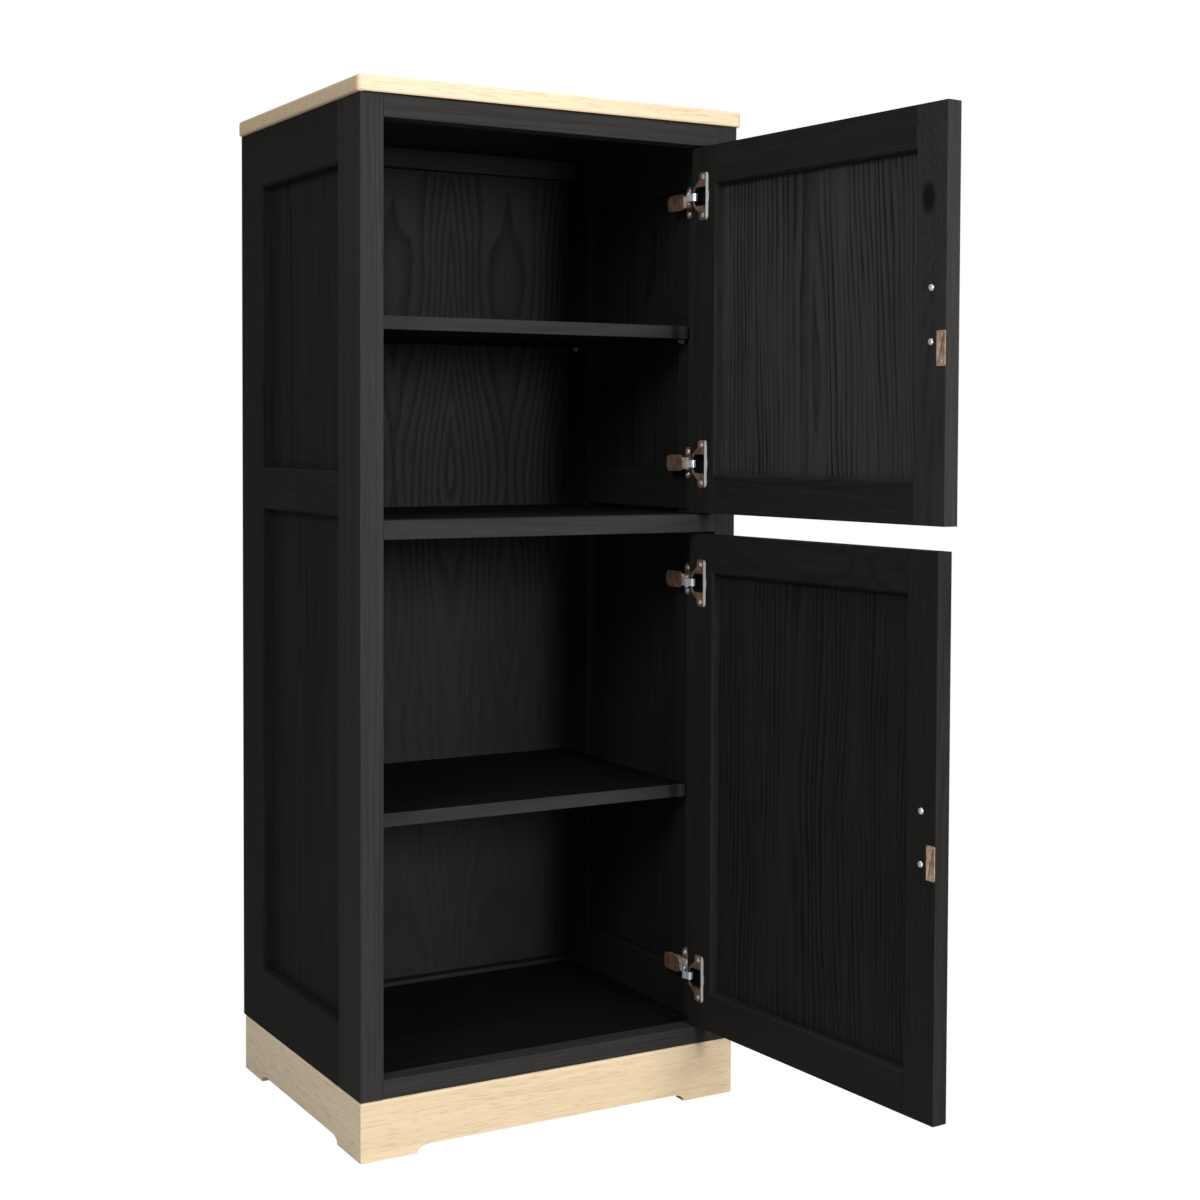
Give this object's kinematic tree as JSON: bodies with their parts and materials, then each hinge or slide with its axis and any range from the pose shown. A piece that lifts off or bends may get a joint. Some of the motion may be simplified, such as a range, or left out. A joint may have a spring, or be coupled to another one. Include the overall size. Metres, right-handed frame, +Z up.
{
  "type": "icebox-style storage cupboard",
  "caption": "Tall narrow black wooden cupboard in icebox style with blond top and plinth, inset frame-and-panel doors on concealed hinges, and adjustable shelves.",
  "frame": {"origin": "on the floor, in the middle of the foot of the rear plinth board", "axes": "+X to the right seen from the front, +Y to the rear, +Z up"},
  "size_m": [0.5837, 0.9149, 1.3716],
  "materials": {
    "black_wood": "black stain, satin, grain showing",
    "dark_plywood": "black stain on plywood, satin",
    "blond_wood": "clear satin lacquer on pale wood",
    "hinge_bronze": "antique copper plate",
    "hinge_chrome": "bright nickel plate",
    "pull_bronze": "antique bronze",
    "catch_plate_bronze": "copper plate",
    "screw_steel": "zinc plate",
    "pin_steel": "nickel plate",
    "catch_plastic": "matt dark brown"
  },
  "bodies": {
    "case": {"back_panel": "dark_plywood", "bottom_board": "dark_plywood", "divider_board": "dark_plywood", "front_bottom_rail": "black_wood", "front_middle_rail": "black_wood", "front_top_rail": "black_wood", "hinge_arm_covers": "hinge_bronze", "hinge_mounting_plates": "hinge_bronze", "hinge_plate_screws": "screw_steel", "left_bottom_rail": "black_wood", "left_front_post": "black_wood", "left_lower_panel": "black_wood", "left_middle_rail": "black_wood", "left_pin_strips": "black_wood", "left_rear_post": "black_wood", "left_top_rail": "black_wood", "left_upper_panel": "black_wood", "lower_door_hinge_arms": "hinge_chrome", "lower_shelf": "dark_plywood", "magnetic_catches": "catch_plastic", "plinth_front_board": "blond_wood", "plinth_left_board": "blond_wood", "plinth_rear_board": "blond_wood", "plinth_right_board": "blond_wood", "rear_bottom_rail": "black_wood", "rear_top_rail": "black_wood", "right_bottom_rail": "black_wood", "right_front_post": "black_wood", "right_lower_panel": "black_wood", "right_middle_rail": "black_wood", "right_pin_strips": "black_wood", "right_rear_post": "black_wood", "right_top_rail": "black_wood", "right_upper_panel": "black_wood", "shelf_pins": "pin_steel", "top_slab": "blond_wood", "upper_door_hinge_arms": "hinge_chrome", "upper_shelf": "dark_plywood"},
    "upper_door": {"upper_door_bottom_rail": "black_wood", "upper_door_catch_plate": "catch_plate_bronze", "upper_door_cup_screws": "screw_steel", "upper_door_hinge_cups": "hinge_bronze", "upper_door_hinge_stile": "black_wood", "upper_door_latch_stile": "black_wood", "upper_door_panel": "black_wood", "upper_door_pull": "pull_bronze", "upper_door_pull_screws": "screw_steel", "upper_door_top_rail": "black_wood"},
    "upper_door_links": {"upper_door_hinge_links": "hinge_chrome"},
    "lower_door": {"lower_door_bottom_rail": "black_wood", "lower_door_catch_plate": "catch_plate_bronze", "lower_door_cup_screws": "screw_steel", "lower_door_hinge_cups": "hinge_bronze", "lower_door_hinge_stile": "black_wood", "lower_door_latch_stile": "black_wood", "lower_door_panel": "black_wood", "lower_door_pull": "pull_bronze", "lower_door_pull_screws": "screw_steel", "lower_door_top_rail": "black_wood"},
    "lower_door_links": {"lower_door_hinge_links": "hinge_chrome"}
  },
  "joints": [
    {"name": "upper_door_swing", "type": "hinge", "parent": "case", "child": "upper_door", "pos_m": [0.23475, -0.4155, 1.0686], "axis": [0, 0, 1], "range_deg": [-95, 4]},
    {"name": "upper_link_turn", "type": "hinge", "parent": "case", "child": "upper_door_links", "pos_m": [0.22175, -0.393, 1.0686], "axis": [0, 0, 1], "range_deg": [-2.6, 57.2]},
    {"name": "lower_door_swing", "type": "hinge", "parent": "case", "child": "lower_door", "pos_m": [0.23475, -0.4155, 0.4464], "axis": [0, 0, 1], "range_deg": [-94, 5]},
    {"name": "lower_link_turn", "type": "hinge", "parent": "case", "child": "lower_door_links", "pos_m": [0.22175, -0.393, 0.4464], "axis": [0, 0, 1], "range_deg": [-3.2, 56.6]}
  ],
  "couplings": [
    {"joint": "upper_link_turn", "follows": "upper_door_swing", "ratio": -0.6},
    {"joint": "lower_link_turn", "follows": "lower_door_swing", "ratio": -0.6}
  ]
}
